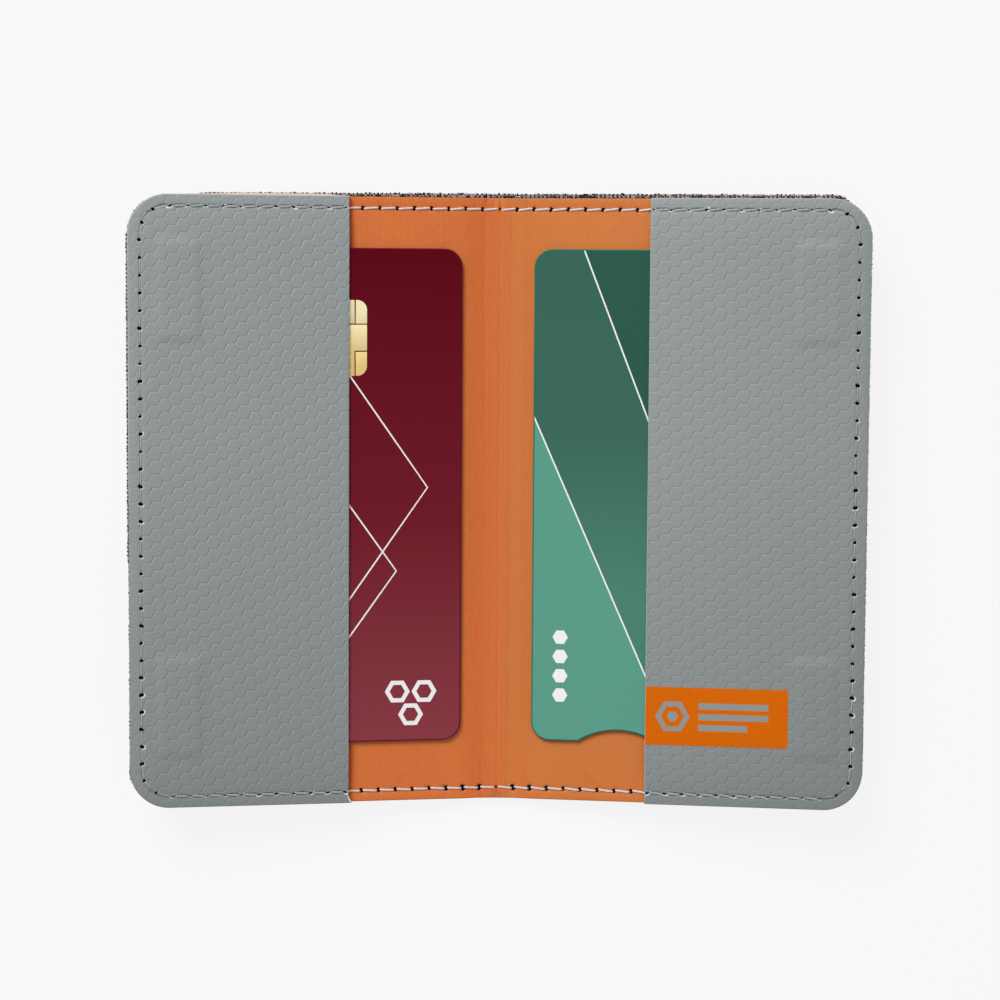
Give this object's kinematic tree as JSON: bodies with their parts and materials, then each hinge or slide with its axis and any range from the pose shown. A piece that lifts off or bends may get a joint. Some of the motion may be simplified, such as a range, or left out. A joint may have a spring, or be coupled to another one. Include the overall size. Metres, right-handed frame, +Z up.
{
  "type": "rfid card holder",
  "caption": "Slim two-leaf card holder, open in a shallow V: woven cover, soft lining, stiffened and shielded leaves, a magnetic-closure card pocket on each leaf, and a card in each pocket.",
  "frame": {"origin": "under the middle of the spine, on the surface that the holder lies on", "axes": "+X to the right leaf, +Y along the fold towards the top of the pockets, +Z up out of the open holder"},
  "size_m": [0.1274, 0.1058, 0.0128],
  "materials": {
    "woven_cover": "matte",
    "orange_lining": "satin",
    "grey_panel": "matte",
    "panel_backing": "matte",
    "board": "matte",
    "shield_foil": "satin",
    "magnet": "satin",
    "thread": "matte",
    "red_card": "satin",
    "green_card": "satin",
    "contacts": "satin",
    "label": "satin"
  },
  "bodies": {
    "spine": {"spine_cover": "woven_cover", "spine_lining": "orange_lining", "spine_needle_thread_top": "thread", "spine_needle_thread_bottom": "thread", "spine_bobbin_thread_top": "thread", "spine_bobbin_thread_bottom": "thread"},
    "left_leaf": {"left_cover": "woven_cover", "left_board": "board", "left_shield": "shield_foil", "left_lining": "orange_lining", "left_panel_backing": "panel_backing", "left_panel": "grey_panel", "left_magnet_upper": "magnet", "left_magnet_lower": "magnet", "left_needle_thread": "thread", "left_bobbin_thread": "thread"},
    "right_leaf": {"right_cover": "woven_cover", "right_board": "board", "right_shield": "shield_foil", "right_lining": "orange_lining", "right_panel_backing": "panel_backing", "right_panel": "grey_panel", "right_magnet_upper": "magnet", "right_magnet_lower": "magnet", "right_needle_thread": "thread", "right_bobbin_thread": "thread", "right_label": "label"},
    "left_card": {"left_card": "red_card", "left_card_contacts": "contacts"},
    "right_card": {"right_card": "green_card"}
  },
  "joints": [
    {"name": "left_fold", "type": "hinge", "parent": "spine", "child": "left_leaf", "pos_m": [-0.0036, 0, 0.00142], "axis": [0, 1, 0], "range_deg": [-8.7, 81.3]},
    {"name": "right_fold", "type": "hinge", "parent": "spine", "child": "right_leaf", "pos_m": [0.0036, 0, 0.00142], "axis": [0, -1, 0], "range_deg": [-8.7, 81.3]},
    {"name": "left_card_slide", "type": "slide", "parent": "left_leaf", "child": "left_card", "axis": [0.9885, 0, -0.1513], "range_m": [-0.0001, 0.0026]},
    {"name": "right_card_slide", "type": "slide", "parent": "right_leaf", "child": "right_card", "axis": [-0.9885, 0, -0.1513], "range_m": [-0.0003, 0.0023]}
  ]
}
